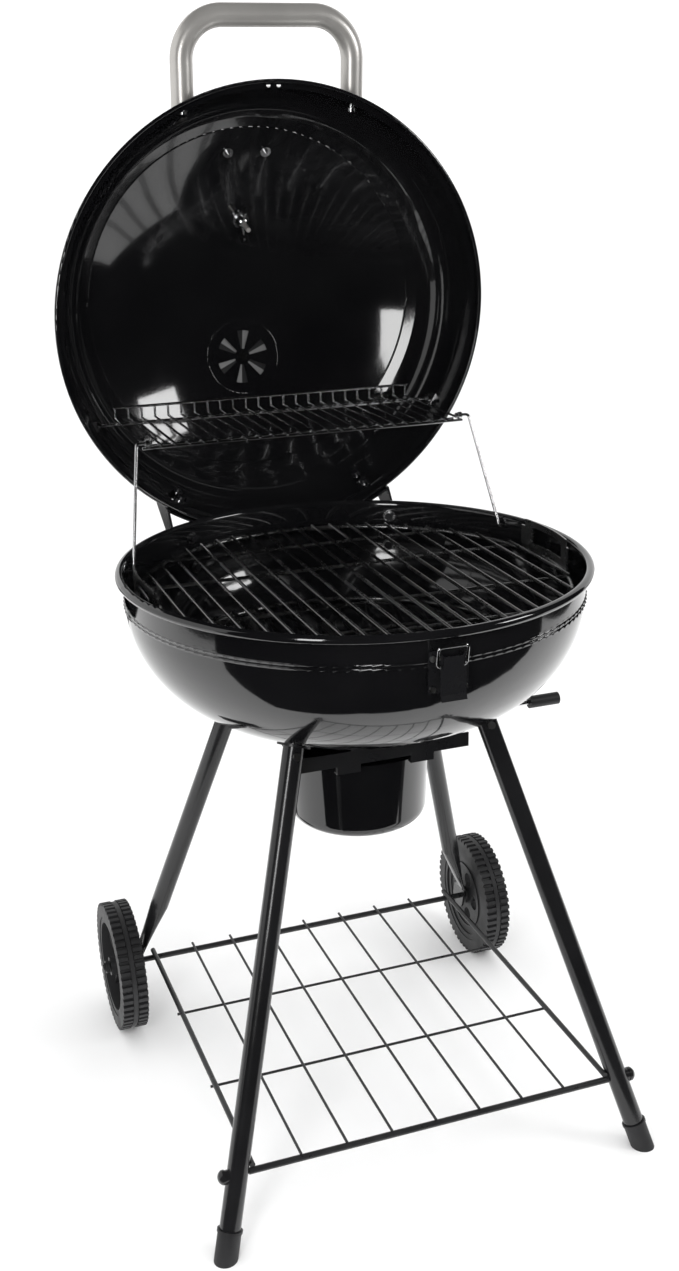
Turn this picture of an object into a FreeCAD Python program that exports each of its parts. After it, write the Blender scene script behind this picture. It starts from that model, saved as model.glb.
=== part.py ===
import FreeCAD, Part
import Sketcher
import math
import os

# Kettle charcoal grill: a bowl on four splayed legs with two wheels, a wire shelf, an ash
# bucket and sweeper, two grates, and a hinged lid that carries a linked warming rack.
#
# Every piece is drawn about the bowl's own axis, with the floor at z = 0, the latch at -Y
# and the hinge at +Y. Pieces of the lid are drawn with the lid shut and are then turned
# about the hinge to the open rest pose. Last, everything moves by axis_y along Y, so that
# the origin is on the floor under the middle of the object.

Vec = FreeCAD.Vector
Rot = FreeCAD.Rotation
X_DIR, Y_DIR, Z_DIR = Vec(1, 0, 0), Vec(0, 1, 0), Vec(0, 0, 1)

doc = FreeCAD.newDocument("kettle_grill")
sheet = doc.addObject("Spreadsheet::Sheet", "dims")

# Driving dimensions: alias, value in millimetres or degrees, meaning.
DIMENSIONS = [
    ("axis_y", -82.27, "bowl axis from the origin"),
    ("rim_z", 718, "height of the bowl's rolled rim"),
    ("rim_outer", 285, "outer radius of the rolled rim"),
    ("bowl_radius", 276, "outer radius of the bowl's upright wall"),
    ("shell", 1.6, "sheet thickness of bowl and lid"),
    ("bowl_shoulder_z", 692, "height where the bowl starts to curve in"),
    ("bowl_depth", 183, "depth of the curved part of the bowl"),
    ("bowl_side_arc", 148, "radius of the bowl's side curve"),
    ("lid_edge_z", 712, "lower edge of the shut lid"),
    ("lid_radius", 281.6, "outer radius of the lid's wall"),
    ("skirt_inner", 287, "inner radius of the lid's skirt"),
    ("lid_edge_outer", 291.7, "outer radius of the lid's rolled edge"),
    ("lid_seat_z", 723.7, "underside of the step that sits over the rim"),
    ("lid_shoulder_z", 746, "height where the lid starts to curve in"),
    ("lid_depth", 148, "depth of the curved part of the lid"),
    ("lid_side_arc", 90, "radius of the lid's side curve"),
    ("hinge_y", 277, "hinge axis behind the bowl axis"),
    ("hinge_z", 700, "height of the hinge axis"),
    ("lid_open", 86, "opening angle of the lid"),
    ("leg_radius", 12.5, "outer radius of a leg tube"),
    ("leg_wall", 1.3, "wall of a leg tube"),
    ("saddle", 2, "thickness of a leg's saddle plate"),
    ("foot_x", 271, "front foot beside the bowl axis"),
    ("foot_y", 279, "front foot ahead of the bowl axis"),
    ("front_lean_x", 0.277, "sideways lean of a front leg per unit of height"),
    ("front_lean_y", 0.298, "forward lean of a front leg per unit of height"),
    ("axle_y", 232, "axle behind the bowl axis"),
    ("axle_z", 90, "height of the axle"),
    ("axle_radius", 4, "radius of the axle"),
    ("axle_half", 303, "half length of the axle"),
    ("rear_tab_x", 250, "flattened end of a rear leg beside the bowl axis"),
    ("rear_lean_x", 0.281, "sideways lean of a rear leg per unit of height"),
    ("rear_lean_y", 0.289, "rearward lean of a rear leg per unit of height"),
    ("shelf_front_y", 253, "front rod of the shelf ahead of the bowl axis"),
    ("shelf_half", 228, "side rods of the shelf beside the bowl axis"),
    ("shelf_pitch", 56.5, "spacing of the shelf's long wires"),
    ("wheel_radius", 90, "radius over the tread"),
    ("wheel_inner", 257, "inner face of a wheel from the bowl axis"),
    ("wheel_width", 36, "width of a wheel"),
    ("rail_y", 98, "inner face of a bucket rail from the bowl axis"),
    ("rail_half", 108, "half length of a bucket rail"),
    ("rail_z", 500, "underside of the bucket rails"),
    ("rail_height", 18, "height of the bucket rails"),
    ("bucket_radius", 90, "outer radius of the ash bucket at its mouth"),
    ("bucket_depth", 103, "depth of the ash bucket"),
    ("grate_z", 695, "height of the cooking grate's long wires"),
    ("grate_ring", 260, "radius of the cooking grate's ring"),
    ("grate_pitch", 23.6, "spacing of the cooking grate's wires"),
    ("coal_z", 600, "height of the charcoal grate's wires"),
    ("coal_ring", 233.9, "radius of the charcoal grate's ring"),
    ("strut_y", 108, "foot pivot of a rack strut behind the bowl axis"),
    ("strut_z", 708, "height of a rack strut's foot pivot"),
    ("arm_y", 50, "rearward run of the rack linkage's arms with the lid open"),
    ("arm_z", 143, "upward run of the rack linkage's arms with the lid open"),
    ("rack_pitch", 18.2, "spacing of the warming rack's wires"),
    ("rack_lip", 15, "height of the warming rack's rear lip"),
    ("handle_half", 111, "handle legs beside the lid's axis"),
    ("handle_reach", 363.5, "handle bar ahead of the lid's axis"),
    ("handle_radius", 14, "outer radius of the handle tube"),
    ("vent_y", 88, "lid vent behind the lid's axis"),
    ("gauge_y", 103, "thermometer ahead of the lid's axis"),
    ("badge_y", 196, "plate ahead of the lid's axis"),
    ("latch_z", 694, "height of the latch lever's pin"),
    ("latch_y", 287, "latch lever's pin ahead of the bowl axis"),
]


class Size:
    """A number together with the sheet formula that gives it."""

    def __init__(self, value, text):
        self.value = float(value)
        self.text = text

    def _join(self, other, sign, value, swap=False):
        left, right = (txt(other), self.text) if swap else (self.text, txt(other))
        return Size(value, "(%s %s %s)" % (left, sign, right))

    def __add__(self, other):
        return self._join(other, "+", self.value + num(other))

    def __radd__(self, other):
        return self._join(other, "+", num(other) + self.value, True)

    def __sub__(self, other):
        return self._join(other, "-", self.value - num(other))

    def __rsub__(self, other):
        return self._join(other, "-", num(other) - self.value, True)

    def __mul__(self, other):
        return self._join(other, "*", self.value * num(other))

    def __rmul__(self, other):
        return self._join(other, "*", num(other) * self.value, True)

    def __truediv__(self, other):
        return self._join(other, "/", self.value / num(other))

    def __neg__(self):
        return Size(-self.value, "(0 - %s)" % self.text)


def num(item):
    """Plain number of a Size or a number."""
    return item.value if isinstance(item, Size) else float(item)


def txt(item):
    """Formula text of a Size or a number."""
    return item.text if isinstance(item, Size) else repr(float(item))


def root(item):
    return Size(math.sqrt(num(item)), "sqrt(%s)" % txt(item))


def sin_of(angle):
    return Size(math.sin(math.radians(num(angle))), "sin(%s)" % txt(angle))


def cos_of(angle):
    return Size(math.cos(math.radians(num(angle))), "cos(%s)" % txt(angle))


class Dims:
    """The sheet's dimensions as attributes."""


dim = Dims()
for row, (alias, value, meaning) in enumerate(DIMENSIONS, start=1):
    sheet.set("A%d" % row, meaning)
    sheet.set("B%d" % row, repr(value))
    sheet.setAlias("B%d" % row, alias)
    setattr(dim, alias, Size(value, "dims." + alias))
doc.recompute()

parts = {}


# ---------------------------------------------------------------- helpers

def bind(item, prop, value):
    """Set a property, and tie it to the sheet when the value comes from there."""
    if "." not in prop and "[" not in prop:
        setattr(item, prop, num(value))
    if isinstance(value, Size):
        item.setExpression(prop, value.text)


def seat(item, x=0, y=0, z=0, rotation=None):
    """Place an object, with coordinates tied to the sheet."""
    item.Placement = FreeCAD.Placement(Vec(num(x), num(y), num(z)), rotation or Rot())
    for letter, value in (("x", x), ("y", y), ("z", z)):
        bind(item, "Placement.Base." + letter, value)
    return item


def cylinder(radius, height, x=0, y=0, z=0, along=Z_DIR, angle=360):
    """Cylinder, or a wedge of one, that starts at a point and runs along a direction."""
    item = doc.addObject("Part::Cylinder", "cylinder")
    bind(item, "Radius", radius)
    bind(item, "Height", height)
    item.Angle = angle
    return seat(item, x, y, z, Rot(Z_DIR, along))


def block(x0, x1, y0, y1, z0, z1):
    """Box between two corners."""
    item = doc.addObject("Part::Box", "block")
    bind(item, "Length", x1 - x0)
    bind(item, "Width", y1 - y0)
    bind(item, "Height", z1 - z0)
    return seat(item, x0, y0, z0)


def ball(radius, x=0, y=0, z=0):
    item = doc.addObject("Part::Sphere", "ball")
    bind(item, "Radius", radius)
    return seat(item, x, y, z)


def ring(radius, wire, x=0, y=0, z=0, along=Z_DIR):
    item = doc.addObject("Part::Torus", "ring")
    bind(item, "Radius1", radius)
    bind(item, "Radius2", wire)
    return seat(item, x, y, z, Rot(Z_DIR, along))


def fuse(*items):
    item = doc.addObject("Part::MultiFuse", "fuse")
    item.Shapes = list(items)
    return item


def cut(base, *tools):
    item = doc.addObject("Part::Cut", "cut")
    item.Base = base
    item.Tool = tools[0] if len(tools) == 1 else fuse(*tools)
    return item


def common(*items):
    item = doc.addObject("Part::MultiCommon", "common")
    item.Shapes = list(items)
    return item


def group(*items):
    """Separate solids kept side by side."""
    item = doc.addObject("Part::Compound", "group")
    item.Links = list(items)
    return item


def computed(shape):
    item = doc.addObject("Part::Feature", "computed")
    item.Shape = shape
    return item


def spoke(angle):
    """Horizontal direction at an angle from +X."""
    return Vec(math.cos(math.radians(angle)), math.sin(math.radians(angle)), 0)


def outline(body, points, plane="XZ_Plane"):
    """Closed sketch through points (across, up[, radius of the arc to the next point]).

    A positive radius bulges to the left of the way of travel, a negative one to the right.
    """
    sketch = body.newObject("Sketcher::SketchObject", "outline")
    sketch.AttachmentSupport = [(feature, "") for feature in body.Origin.OriginFeatures
                                if feature.Role == plane]
    sketch.MapMode = "FlatFace"
    ends = []
    for index, point in enumerate(points):
        after = points[(index + 1) % len(points)]
        start = Vec(num(point[0]), num(point[1]), 0)
        stop = Vec(num(after[0]), num(after[1]), 0)
        if len(point) == 2:
            edge = sketch.addGeometry(Part.LineSegment(start, stop), False)
            ends.append((edge, 1, 2))
            continue
        radius = num(point[2])
        chord = stop - start
        left = Vec(-chord.y, chord.x, 0).normalize()
        inset = math.sqrt(max(radius ** 2 - chord.Length ** 2 / 4, 0))
        centre = (start + stop) * 0.5 - left * math.copysign(inset, radius)
        first, last = (stop, start) if radius > 0 else (start, stop)
        turns = [math.atan2(spot.y - centre.y, spot.x - centre.x) for spot in (first, last)]
        if turns[1] < turns[0]:
            turns[1] += 2 * math.pi
        circle = Part.Circle(centre, Z_DIR, abs(radius))
        edge = sketch.addGeometry(Part.ArcOfCircle(circle, turns[0], turns[1]), False)
        ends.append((edge, 2, 1) if radius > 0 else (edge, 1, 2))
    for index, (edge, first, last) in enumerate(ends):
        across, up = points[index][0], points[index][1]
        for kind, value, axis in (("DistanceX", across, -2), ("DistanceY", up, -1)):
            if num(value) == 0:
                sketch.addConstraint(Sketcher.Constraint("PointOnObject", edge, first, axis))
                continue
            spot = sketch.addConstraint(
                Sketcher.Constraint(kind, -1, 1, edge, first, num(value)))
            bind(sketch, "Constraints[%d]" % spot, value)
        if len(points[index]) == 3:
            size = points[index][2]
            size = size if num(size) > 0 else -size
            spot = sketch.addConstraint(Sketcher.Constraint("Radius", edge, num(size)))
            bind(sketch, "Constraints[%d]" % spot, size)
        following, start_end, _ = ends[(index + 1) % len(ends)]
        sketch.addConstraint(Sketcher.Constraint("Coincident", edge, last, following, start_end))
    return sketch


def turned(points, angle=360, body=None):
    """Body of an outline turned about Z, centred on +X when it is not a full turn."""
    body = body or doc.addObject("PartDesign::Body", "turned")
    sketch = outline(body, points)
    feature = body.newObject("PartDesign::Revolution", "revolution")
    feature.Profile = sketch
    feature.ReferenceAxis = (sketch, ["V_Axis"])
    feature.Midplane = True
    feature.Angle = angle
    return body


def sheet_plate(points, thickness, plane):
    """Body of an outline padded both ways by half its thickness."""
    body = doc.addObject("PartDesign::Body", "plate")
    sketch = outline(body, points, plane)
    feature = body.newObject("PartDesign::Pad", "pad")
    feature.Profile = sketch
    feature.Midplane = True
    bind(feature, "Length", thickness)
    return body


def bent_rod(radius, bend, *corners):
    """Round rod through corners, with an arc at each inner corner."""
    spots = [Vec(*[num(value) for value in corner]) for corner in corners]
    edges = []
    start = spots[0]
    for before, corner, after in zip(spots, spots[1:], spots[2:]):
        inward = (before - corner).normalize()
        onward = (after - corner).normalize()
        half_turn = inward.getAngle(onward) / 2
        reach = num(bend) / math.tan(half_turn)
        first, last = corner + inward * reach, corner + onward * reach
        bisector = (inward + onward).normalize()
        middle = corner + bisector * (num(bend) / math.sin(half_turn) - num(bend))
        edges.append(Part.LineSegment(start, first).toShape())
        edges.append(Part.Arc(first, middle, last).toShape())
        start = last
    edges.append(Part.LineSegment(start, spots[-1]).toShape())
    section = Part.Wire(Part.Circle(spots[0], spots[1] - spots[0], num(radius)).toShape())
    return computed(Part.Wire(edges).makePipeShell([section], True, True))


def stand_part(name, item):
    """Name a piece drawn about the bowl axis."""
    item.Label = name
    item.Placement = FreeCAD.Placement(Vec(0, num(dim.axis_y), 0), item.Placement.Rotation)
    bind(item, "Placement.Base.y", dim.axis_y)
    parts[name] = item


def lid_part(name, item):
    """Name a piece drawn on the shut lid, and turn it about the hinge to the open pose."""
    wrap = group(item)
    wrap.Label = name
    along, up = cos_of(dim.lid_open), sin_of(dim.lid_open)
    seat(wrap, 0, dim.axis_y + dim.hinge_y - dim.hinge_y * along - dim.hinge_z * up,
         dim.hinge_z + dim.hinge_y * up - dim.hinge_z * along,
         Rot(-X_DIR, num(dim.lid_open)))
    wrap.setExpression("Placement.Rotation.Angle", dim.lid_open.text)
    parts[name] = wrap


def moved(item, x=0, y=0, z=0, rotation=None):
    """The same object at another place."""
    return seat(group(item), x, y, z, rotation)


# ---------------------------------------------------------------- curved shells

def crown_radius(radius, depth, side):
    """Radius of the crown arc that joins a side arc smoothly."""
    return (radius * radius + depth * depth - 2 * radius * side) / (2 * (depth - side))


def joint_point(radius, depth, side, level, sign):
    """Point where side arc and crown arc meet; sign is -1 for a bowl and +1 for a dome."""
    crown = crown_radius(radius, depth, side)
    run = radius - side
    rise = crown - depth
    length = root(run * run + rise * rise)
    across = run + side * run / length
    return across, level + sign * side * rise / length


BOWL_CROWN = crown_radius(dim.bowl_radius, dim.bowl_depth, dim.bowl_side_arc)
BOWL_BOTTOM = dim.bowl_shoulder_z - dim.bowl_depth
BOWL_CENTRE_Z = BOWL_BOTTOM + BOWL_CROWN
LID_CROWN = crown_radius(dim.lid_radius, dim.lid_depth, dim.lid_side_arc)
LID_TOP = dim.lid_shoulder_z + dim.lid_depth
LID_CENTRE_Z = LID_TOP - LID_CROWN
BOWL_INNER = dim.bowl_radius - dim.shell
LID_INNER = dim.lid_radius - dim.shell


def bowl_half(offset):
    """Half outline of the bowl's outer skin moved outward by an offset, filled."""
    radius = dim.bowl_radius + offset
    side = dim.bowl_side_arc + offset
    depth = dim.bowl_depth + offset
    knee = joint_point(radius, depth, side, dim.bowl_shoulder_z, -1)
    return [(0, BOWL_BOTTOM - offset, -crown_radius(radius, depth, side)),
            (knee[0], knee[1], -side),
            (radius, dim.bowl_shoulder_z)]


def lid_half(offset):
    """Half outline of the lid's outer skin moved outward by an offset, from wall to top."""
    radius = dim.lid_radius + offset
    side = dim.lid_side_arc + offset
    depth = dim.lid_depth + offset
    knee = joint_point(radius, depth, side, dim.lid_shoulder_z, 1)
    return [(radius, dim.lid_shoulder_z, -side),
            (knee[0], knee[1], -crown_radius(radius, depth, side)),
            (0, LID_TOP + offset)]


def make_forms():
    """Filled shapes of bowl and lid that trim the pieces meeting them."""
    top = dim.rim_z - 6
    filled = {}
    for name, offset in (("bowl", 0), ("saddle", dim.saddle)):
        points = bowl_half(offset) + [(dim.bowl_radius + offset, top), (0, top)]
        filled[name] = turned(points)
    filled["bowl_inside"] = turned(bowl_half(-dim.shell) + [(BOWL_INNER, dim.rim_z), (0, dim.rim_z)])
    outer = [(0, dim.lid_seat_z), (dim.lid_radius, dim.lid_seat_z)] + lid_half(0)
    inner = [(0, dim.lid_seat_z), (LID_INNER, dim.lid_seat_z)] + lid_half(-dim.shell)
    filled["lid"] = turned(outer)
    filled["lid_inside"] = turned(inner)
    return filled


forms = make_forms()


# ---------------------------------------------------------------- bowl

HINGE_BOLT_X = 140
HINGE_BOLT_LEVELS = (703, 664)
LATCH_RIVETS = ((-18, 692), (18, 692), (-18, 658), (18, 658))


def radial_angle(x, radius):
    """Angle from +X of the point on a circle at a given x, on the rear side."""
    return math.degrees(math.acos(x / num(radius)))


def front_angle(x, radius):
    return -radial_angle(x, radius)


def bowl_wall_at(level, reach):
    """Largest radius at which a flat disc of a given reach clears the bowl's inner wall."""
    side = num(dim.bowl_side_arc) - num(dim.shell)
    drop = max(num(dim.bowl_shoulder_z) - level + reach, 0)
    wall = num(dim.bowl_radius) - num(dim.bowl_side_arc) + math.sqrt(side ** 2 - drop ** 2)
    return wall - reach ** 2 / (2 * wall) - 0.03


def sectors(count, first, inner, outer, spread, z0, z1):
    """Ring sectors about Z: count of them, the first centred on an angle."""
    wedges = []
    for index in range(count):
        wedge = cylinder(outer, z1 - z0, 0, 0, z0, angle=spread)
        wedge.Placement.Rotation = Rot(Z_DIR, first - spread / 2 + index * 360 / count)
        wedges.append(wedge)
    return cut(fuse(*wedges), cylinder(inner, z1 - z0, 0, 0, z0))


def make_bowl():
    """Pressed bowl with a rolled rim, two bead ridges, ash slots and bolt holes."""
    roll = (dim.rim_outer - BOWL_INNER) / 2
    roll_centre = BOWL_INNER + roll
    outer = bowl_half(0)
    rim = [(dim.bowl_radius, dim.rim_z - roll), (roll_centre, dim.rim_z - roll, -roll),
           (dim.rim_outer, dim.rim_z, -roll), (roll_centre, dim.rim_z + roll, -roll),
           (BOWL_INNER, dim.rim_z)]
    body = cut(turned(outer + rim + [(0, dim.rim_z)]), forms["bowl_inside"])
    beads = [ring(dim.bowl_radius + 0.2, 1.5, 0, 0, level) for level in (687.8, 683.2)]
    slots = sectors(3, 90, 34, 92, 24, 500, 560)
    tools = [slots, cylinder(4.06, 30, 0, 0, 495)]
    for x in (-HINGE_BOLT_X, HINGE_BOLT_X):
        for level in HINGE_BOLT_LEVELS:
            tools.append(cylinder(3, 300, 0, 0, level, spoke(radial_angle(x, BOWL_INNER))))
    for x, level in LATCH_RIVETS:
        tools.append(cylinder(2, 300, 0, 0, level, spoke(front_angle(x, BOWL_INNER))))
    tools.append(cylinder(2.05, 600, -300, dim.strut_y, dim.strut_z, X_DIR))
    stand_part("bowl", cut(fuse(body, *beads), *tools))


# ---------------------------------------------------------------- legs

def leg_points(front, side):
    """Foot point and upward direction of a leg's axis."""
    if front:
        foot = (side * dim.foot_x, -dim.foot_y, 0)
        lean = Vec(-side * num(dim.front_lean_x), num(dim.front_lean_y), 1)
        return foot, lean
    foot = (side * (dim.rear_tab_x + dim.axle_z * dim.rear_lean_x),
            dim.axle_y + dim.axle_z * dim.rear_lean_y, 0)
    lean = Vec(-side * num(dim.rear_lean_x), -num(dim.rear_lean_y), 1)
    return foot, lean


def on_leg(front, side, level):
    """Point of a leg's axis at a height."""
    foot, lean = leg_points(front, side)
    return (foot[0] + lean.x * level, foot[1] + lean.y * level, level)


SCREW_LEVEL = 534
SCREW_RADIUS = 2.5
LEG_TOP = 585


def leg_tool(front, side, radius, low, high):
    """Cylinder along a leg's axis between two heights."""
    _, lean = leg_points(front, side)
    start = on_leg(front, side, low)
    return cylinder(radius, (high - low) * lean.Length, start[0], start[1], start[2], lean)


def leg_spot(front, side, level):
    """Point on a leg's axis as a plain vector."""
    return Vec(*[num(part) for part in on_leg(front, side, level)])


def screw_way(front, side):
    """Direction square to a leg's axis that points to the front or the back of the grill."""
    axis = (leg_spot(front, side, 100) - leg_spot(front, side, 0)).normalize()
    outward = Y_DIR * (-1 if front else 1)
    return (outward - axis * outward.dot(axis)).normalize()


def leg_screw_hole(front, side):
    spot = on_leg(front, side, SCREW_LEVEL)
    return cylinder(SCREW_RADIUS, 30, spot[0], spot[1], spot[2], screw_way(front, side))


def front_leg(side):
    tube = cut(leg_tool(True, side, dim.leg_radius, 5, LEG_TOP),
               leg_tool(True, side, dim.leg_radius - dim.leg_wall, 0, LEG_TOP + 5))
    spot = on_leg(True, side, dim.axle_z)
    bolt_hole = cylinder(3, 60, spot[0] - 30, spot[1], spot[2], X_DIR)
    return cut(tube, forms["saddle"], leg_screw_hole(True, side), bolt_hole)


def rear_leg(side):
    """Tube that is pressed flat below, with an eye for the axle."""
    start_level, flat_level = 190, 108
    _, lean = leg_points(False, side)
    hollow = leg_tool(False, side, dim.leg_radius - dim.leg_wall, start_level + 4, LEG_TOP + 5)
    tube = cut(leg_tool(False, side, dim.leg_radius, start_level, LEG_TOP), hollow)
    circle = doc.addObject("Part::Circle", "tube_end")
    bind(circle, "Radius", dim.leg_radius)
    ellipse = doc.addObject("Part::Ellipse", "flat_end")
    ellipse.MajorRadius, ellipse.MinorRadius = 17, 1.75
    top = on_leg(False, side, start_level)
    axis = Vec(lean).normalize()
    across = (Y_DIR - axis * Y_DIR.dot(axis)).normalize()
    seat(circle, top[0], top[1], top[2], Rot(across, axis.cross(across), axis, "ZXY"))
    seat(ellipse, side * dim.rear_tab_x, dim.axle_y - 5.2, flat_level,
         Rot(Y_DIR, Z_DIR.cross(Y_DIR), Z_DIR, "ZXY"))
    throat = doc.addObject("Part::Loft", "throat")
    throat.Sections = [circle, ellipse]
    throat.Solid = True
    eye_round = 17
    tab = sheet_plate([(dim.axle_y - 22, flat_level + 0.5),
                       (dim.axle_y - eye_round, dim.axle_z, -eye_round),
                       (dim.axle_y, dim.axle_z - eye_round, -eye_round),
                       (dim.axle_y + eye_round, dim.axle_z), (dim.axle_y + 11.6, flat_level + 0.5)],
                      3, "YZ_Plane")
    seat(tab, side * dim.rear_tab_x)
    eye = cylinder(dim.axle_radius + 0.02, 20, side * dim.rear_tab_x - 10, dim.axle_y, dim.axle_z,
                   X_DIR)
    return cut(fuse(tube, throat, tab), forms["saddle"], leg_screw_hole(False, side), eye)


CORNERS = [(front, side) for front in (True, False) for side in (-1, 1)]


def make_legs():
    names = {-1: "left", 1: "right"}
    for side in (-1, 1):
        stand_part("leg_front_" + names[side], front_leg(side))
        stand_part("leg_rear_" + names[side], rear_leg(side))
    sockets, screws = [], []
    for front, side in CORNERS:
        plate = common(leg_tool(front, side, 20, SCREW_LEVEL - 22, LEG_TOP), forms["saddle"])
        plug = leg_tool(front, side, dim.leg_radius - dim.leg_wall - 0.05, SCREW_LEVEL - 14, LEG_TOP)
        sockets.append(cut(fuse(plate, plug), forms["bowl"], leg_screw_hole(front, side)))
        spot = leg_spot(front, side, SCREW_LEVEL)
        way = screw_way(front, side)
        seat_at = num(dim.leg_radius) + 0.02
        head = spot + way * seat_at
        screws.append(fuse(cylinder(SCREW_RADIUS, seat_at + 0.5, spot.x, spot.y, spot.z, way),
                           cylinder(4.6, 2.4, head.x, head.y, head.z, way)))
    stand_part("leg_sockets", group(*sockets))
    stand_part("leg_screws", group(*screws))


def make_feet():
    """Plastic caps on the front legs, with a beaded mouth, cut level with the floor."""
    cap_radius, bead_radius, cap_top = 13.9, 14.9, 32
    caps = []
    for side in (-1, 1):
        sleeve = fuse(leg_tool(True, side, cap_radius, -12, cap_top),
                      leg_tool(True, side, bead_radius, cap_top - 3, cap_top))
        above = block(-400, 400, -400, 400, 0, 60)
        caps.append(cut(common(sleeve, above), leg_tool(True, side, dim.leg_radius + 0.02, 4.8, 60)))
    stand_part("foot_caps", group(*caps))


# ---------------------------------------------------------------- axle, wheels, shelf

def make_axle():
    stand_part("axle", group(cylinder(dim.axle_radius, 2 * dim.axle_half, -dim.axle_half,
                                      dim.axle_y, dim.axle_z, X_DIR)))


LUGS = 54
GROOVE_DEPTH = 4


def tread_outline(groove, radius):
    """Flat outline of one lug row: raised pads with grooves between them."""
    points = []
    step = 360 / LUGS
    for index in range(LUGS):
        for share, reach in ((0, radius), (0.5, radius), (0.58, groove), (0.92, groove)):
            angle = math.radians((index + share) * step)
            points.append(Vec(0, reach * math.cos(angle), reach * math.sin(angle)))
    return Part.Face(Part.makePolygon(points + points[:1]))


def lug_row(start, width, inner):
    """One ring of lugs, as a prism of the tread outline with a round hole."""
    radius = num(dim.wheel_radius)
    prism = tread_outline(radius - GROOVE_DEPTH, radius).extrude(X_DIR * width)
    hole = Part.makeCylinder(inner, width, Vec(0, 0, 0), X_DIR)
    return seat(computed(prism.cut(hole)), start)


def hoop(outer, inner, start, width):
    """Flat-sided ring about X."""
    return cut(cylinder(outer, width, start, 0, 0, X_DIR),
               cylinder(inner, width + 2, start - 1, 0, 0, X_DIR))


def make_wheel(side, name):
    """Plastic wheel: hub, web with windows near its inner face, ribs, rim, and a lugged tyre."""
    width = num(dim.wheel_width)
    rim_in, rim_out = 62, 70
    web_start, web_width = 3.5, 4
    row_width, band_width = 13.5, 6.4
    hub = cylinder(13, width - 1, 0.5, 0, 0, X_DIR)
    web = cylinder(rim_in + 1, web_width, web_start, 0, 0, X_DIR)
    rim = hoop(rim_out, rim_in, 1.5, width - 3)
    ridge = hoop(51, 48, 1.8, 4)
    windows, ribs = [], []
    for index in range(5):
        angle = index * 72
        turn = math.radians(angle + 36)
        windows.append(cylinder(10.5, 30, 0, 31 * math.cos(turn), 31 * math.sin(turn), X_DIR))
        rib = block(web_start + 1, 24, -1.6, 1.6, 12, rim_in + 1)
        ribs.append(moved(rib, rotation=Rot(X_DIR, angle)))
    bore = cylinder(dim.axle_radius + 0.06, 50, -5, 0, 0, X_DIR)
    disc = cut(fuse(hub, web, rim, ridge, *ribs), bore, *windows)
    core = dim.wheel_radius - GROOVE_DEPTH
    tyre = fuse(lug_row(0.5, row_width, rim_out), lug_row(width - 0.5 - row_width, row_width, rim_out),
                hoop(core, rim_out, 1, width - 2),
                hoop(dim.wheel_radius - 1.2, rim_out, (width - band_width) / 2, band_width))
    flip = Rot() if side > 0 else Rot(Z_DIR, 180)
    for label, item in (("wheel_" + name, disc), ("tyre_" + name, tyre)):
        placed = moved(item, side * dim.wheel_inner, dim.axle_y, dim.axle_z, flip)
        stand_part(label, group(placed))


def make_axle_caps():
    """Push-on caps that hold the wheels on the axle."""
    caps = []
    for side in (-1, 1):
        start = side * (dim.wheel_inner + dim.wheel_width + 0.6)
        cap = fuse(cylinder(9, 5, start, dim.axle_y, dim.axle_z, X_DIR * side),
                   cylinder(6.5, 8, start, dim.axle_y, dim.axle_z, X_DIR * side))
        caps.append(cut(cap, cylinder(dim.axle_radius, 2 * dim.axle_half, -dim.axle_half,
                                      dim.axle_y, dim.axle_z, X_DIR)))
    stand_part("axle_caps", group(*caps))


def make_shelf():
    """Wire shelf that hooks over the axle and bolts between the front legs."""
    wire, side_rod, front_rod = 1.75, 3.4, 4.0
    level = dim.axle_z + dim.axle_radius + wire + 0.05
    side_level = dim.axle_z + dim.axle_radius + side_rod + 0.05
    length = dim.shelf_front_y + dim.axle_y + 8
    inside = dim.foot_x - dim.axle_z * dim.front_lean_x - 13.4
    rods = [cylinder(front_rod, 2 * inside, -inside, -dim.shelf_front_y, dim.axle_z + 0.4, X_DIR)]
    for index in range(-3, 4):
        rods.append(cylinder(wire, length, index * dim.shelf_pitch, -dim.shelf_front_y, level, Y_DIR))
    for side in (-1, 1):
        rods.append(cylinder(side_rod, length, side * dim.shelf_half, -dim.shelf_front_y, side_level,
                             Y_DIR))
    for y in (77, -90):
        rods.append(cylinder(wire, 2 * dim.shelf_half + 10, -dim.shelf_half - 5, y,
                             level - 2 * wire + 0.2, X_DIR))
    threads = []
    for side in (-1, 1):
        spot = on_leg(True, side, dim.axle_z)
        threads.append(cylinder(3, 40, spot[0] - side * 35, spot[1], spot[2], X_DIR * side))
    stand_part("bottom_shelf", cut(fuse(*rods), *threads))
    bolts = []
    for side in (-1, 1):
        spot = on_leg(True, side, dim.axle_z)
        shank = cylinder(3, 46, spot[0] - side * 32, spot[1], spot[2], X_DIR * side)
        saddle_washer = cut(cylinder(7.5, 6, spot[0] + side * 9.2, spot[1], spot[2], X_DIR * side),
                            leg_tool(True, side, dim.leg_radius + 0.03, 60, 120))
        dome = common(ball(9.5, spot[0] + side * 14, spot[1], spot[2]),
                      cylinder(8.5, 9, spot[0] + side * 15.1, spot[1], spot[2], X_DIR * side))
        bolts.append(fuse(shank, saddle_washer, dome))
    stand_part("shelf_bolts", group(*bolts))


# ---------------------------------------------------------------- ash handling

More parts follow.
